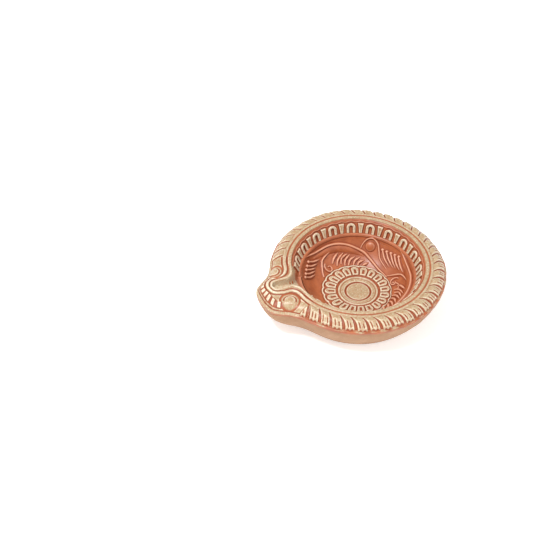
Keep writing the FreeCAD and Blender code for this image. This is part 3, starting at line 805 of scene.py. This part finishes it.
def painted_clay(name, painted_highlight, roughness):
    """Satin-painted terracotta with champagne gold brushed over its high parts; its second argument
    is how much painted highlight the bare high parts get."""
    n = Nodes(name)
    hollow, proud = n.layer("hollow"), n.layer("proud")
    cloud = n.noise(180.0, 5.0)
    fine = n.noise(1500.0, 5.0, 0.7)
    body = n.mix(n.ramp(cloud, 0.35, 0.65), linear(152, 78, 42), linear(176, 98, 57))
    # painted highlight: the proud parts of the terracotta are lightened
    body = n.mix(n.ramp(proud, 0.15, 0.8, 0.0, painted_highlight), body, linear(226, 170, 140))
    # painted shade: the hollows of the terracotta are darkened
    body = n.mix(n.ramp(hollow, 0.05, 0.7, 0.0, 0.95), body, linear(138, 58, 24))
    gold = n.mix(n.ramp(n.noise(420.0, 6.0, 0.7), 0.35, 0.7),
                 linear(164, 139, 102), linear(188, 169, 135))
    gold = n.mix(n.ramp(n.noise(1500.0, 3.0, 0.6), 0.52, 0.7, 0.0, 0.6), gold, linear(216, 208, 182))
    # painted highlight: the proud parts of the gold are lightened
    gold = n.mix(n.ramp(proud, 0.1, 0.8, 0.0, 0.85), gold, linear(232, 222, 196))
    # painted shade: the hollows of the gold are darkened
    gold = n.mix(n.ramp(hollow, 0.05, 0.7, 0.0, 0.8), gold, linear(146, 92, 50))
    brushed = n.ramp(n.noise(1100.0, 6.0, 0.75), 0.36, 0.58, 0.4, 1.12)
    cover = n.maths("MULTIPLY", n.ramp(n.layer("gilt"), 0.2, 0.7), brushed)
    n.join(n.mix(cover, body, gold), n.shader.inputs["Base Color"])
    n.join(n.ramp(fine, 0.3, 0.7, roughness - 0.06, roughness + 0.1), n.shader.inputs["Roughness"])
    n.shader.inputs["Coat Weight"].default_value = 0.12
    n.shader.inputs["Coat Roughness"].default_value = 0.25
    n.bump(fine, 0.25, 0.00012)
    return n.material


def bare_clay(name):
    """Unpainted, pinkish fired clay: matte, finely pitted, gold only at the lip."""
    n = Nodes(name)
    fine = n.noise(1800.0, 6.0, 0.75)
    body = n.mix(n.ramp(n.noise(90.0, 6.0), 0.35, 0.65), linear(150, 110, 77), linear(168, 128, 96))
    body = n.mix(n.ramp(fine, 0.58, 0.8, 0.0, 0.45), body, linear(144, 92, 62))
    brushed = n.maths("MULTIPLY", n.layer("gilt"), n.ramp(fine, 0.35, 0.6))
    n.join(n.mix(brushed, body, linear(190, 170, 132)), n.shader.inputs["Base Color"])
    n.join(n.ramp(fine, 0.3, 0.7, 0.62, 0.85), n.shader.inputs["Roughness"])
    n.bump(fine, 0.4, 0.00015)
    return n.material


# ------------------------------------------------------------------ the lamp itself

def make_lamp():
    # the bowl's paint gets a strong painted highlight on its proud parts, the rim's a weak one
    highlit_bowl_paint = painted_clay("painted_bowl", 0.85, 0.4)
    gilded = painted_clay("painted_rim", 0.25, 0.42)
    outside = bare_clay("bare_clay")
    dish = dish_field(1920, 0.12)
    brim = rim_field(2400, RIM_ROWS)
    lip_row = RIM_ROWS - LIP_ROWS
    spout, back = SPOUT_ANGLE, 360 - SPOUT_ANGLE
    crest_rows, leaf_rows = slice(0, CREST_ROWS), slice(CREST_ROWS - 1, lip_row + 1)

    def rows_between(first, last):
        """Rows of the dish from one radius to another, one row shared."""
        low, high = np.searchsorted(dish.s, [along_at(first), along_at(last)])
        return slice(int(low), min(int(high) + 1, len(dish.s)))

    pieces = [
        (dish.cut("medallion_disc_relief", rows_between(0, DISC_R + 0.3), 4), gilded,
         "gold_paint", ("medallion_disc",)),
        (dish.cut("medallion_ring_relief", rows_between(DISC_R + 0.3, RING_R + 0.3), 2), gilded,
         "gold_paint", ("medallion_ring",)),
        (dish.cut("medallion_petal_relief", rows_between(RING_R + 0.3, PETAL_R + 0.8), 2), gilded,
         "gold_paint", ("medallion_petals",)),
        (dish.cut("medallion_edge_relief", rows_between(PETAL_R + 0.8, FLOOR_R + 0.3), 2), gilded,
         "glazed_terracotta", ("medallion_outline",)),
        (dish.cut("bowl_low_relief", rows_between(FLOOR_R + 0.3, LOW_BOWL_R), 2), highlit_bowl_paint,
         "glazed_terracotta", ("inner_leaf_fans", "scroll_spirals")),
        (dish.cut("bowl_high_relief", rows_between(LOW_BOWL_R, LINE_R - 1.9), 2), highlit_bowl_paint,
         "glazed_terracotta", ("vine_stems", "outer_leaf_fans", "scroll_bosses")),
        (dish.cut("bowl_line_relief", rows_between(LINE_R - 1.9, LINE_R), 2), highlit_bowl_paint,
         "glazed_terracotta", ("bowl_line",)),
        (dish.cut("arcade_relief", rows_between(LINE_R, WALL_TOP_R + 0.5)), gilded,
         "gold_paint", ("arcade_arches", "arcade_pillars")),
        (brim.cut("crest_relief", crest_rows, 2, spout, back), gilded,
         "gold_paint", ("crest_band", "ledge_ring")),
        (brim.cut("leaf_relief_back", leaf_rows, 1, 180, back), gilded,
         "gold_paint", ("rim_leaves",)),
        (brim.cut("leaf_relief_front", leaf_rows, 1, spout, 180), gilded, "gold_paint", ()),
        (brim.cut("spout_relief", slice(0, lip_row + 1), 1, -spout, spout, 1), gilded,
         "gold_paint", ("spout_inner_line", "spout_outer_line", "spout_volutes",
                        "spout_dentils")),
        (brim.cut("lip_relief", slice(lip_row, RIM_ROWS)), gilded,
         "gold_paint", ("rim_lip_line", "spout_lip_line")),
        (clay_wall(720), outside, "bare_clay", ("clay_body",)),
    ]
    for piece, material, slot, nodes in pieces:
        piece.data.materials.append(material)
        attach(piece, "root")
        if nodes:
            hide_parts(*nodes)


# ---------------------------------------------------------- camera, floor and light

PITCH = math.radians(44.0)
DISTANCE = 0.5482
SPOUT_HEADING = math.radians(201.0)              # spout's direction, from the right of the view
LAMP_PLACE = Vector((0.0413, -0.0191, 0.0))      # from the point the camera looks at
SENSOR_WIDTH = 36.0                              # millimetres, as is the lens
LENS = 78.14634


def place_camera():
    data = bpy.data.cameras.new("camera")
    data.sensor_width = SENSOR_WIDTH
    data.lens = LENS
    data.clip_start = 0.01
    camera = bpy.data.objects.new("camera", data)
    bpy.context.scene.collection.objects.link(camera)
    turn = Matrix.Rotation(-SPOUT_HEADING, 3, "Z")
    eye = Vector((0.0, -DISTANCE * math.cos(PITCH), DISTANCE * math.sin(PITCH)))
    look = Vector((0.0, math.cos(PITCH), -math.sin(PITCH)))
    camera.location = turn @ (eye - LAMP_PLACE)
    camera.rotation_euler = (turn @ look).to_track_quat("-Z", "Y").to_euler()
    bpy.context.scene.camera = camera
    return turn


def area_light(name, turn, place, aim, size, power):
    data = bpy.data.lights.new(name, "AREA")
    data.shape = "DISK"
    data.size = size
    data.energy = power
    light = bpy.data.objects.new(name, data)
    bpy.context.scene.collection.objects.link(light)
    light.location = turn @ Vector(place)
    light.rotation_euler = (turn @ (Vector(aim) - Vector(place))).to_track_quat("-Z", "Y").to_euler()


def stage_and_light(turn):
    bpy.ops.mesh.primitive_plane_add(size=6.0, location=(0, 0, 0))
    floor = bpy.context.active_object
    floor.name = "floor"
    material = bpy.data.materials.new("pale_floor")
    material.use_nodes = True
    shader = material.node_tree.nodes["Principled BSDF"]
    shader.inputs["Base Color"].default_value = (0.95, 0.95, 0.95, 1)
    shader.inputs["Roughness"].default_value = 0.9
    shader.inputs["Emission Color"].default_value = (1, 1, 1, 1)
    shader.inputs["Emission Strength"].default_value = 0.46
    floor.data.materials.append(material)
    world = bpy.data.worlds.new("studio")
    world.use_nodes = True
    world.node_tree.nodes["Background"].inputs["Color"].default_value = (1, 1, 1, 1)
    world.node_tree.nodes["Background"].inputs["Strength"].default_value = 0.66
    bpy.context.scene.world = world
    area_light("key", turn, (-0.22, -0.15, 0.6), (0, 0, 0.01), 0.16, 3.7)
    area_light("fill", turn, (0.5, -0.35, 0.5), (0, 0, 0.01), 0.6, 0.9)
    bpy.context.scene.view_settings.view_transform = "Standard"


facing = place_camera()
make_lamp()
stage_and_light(facing)
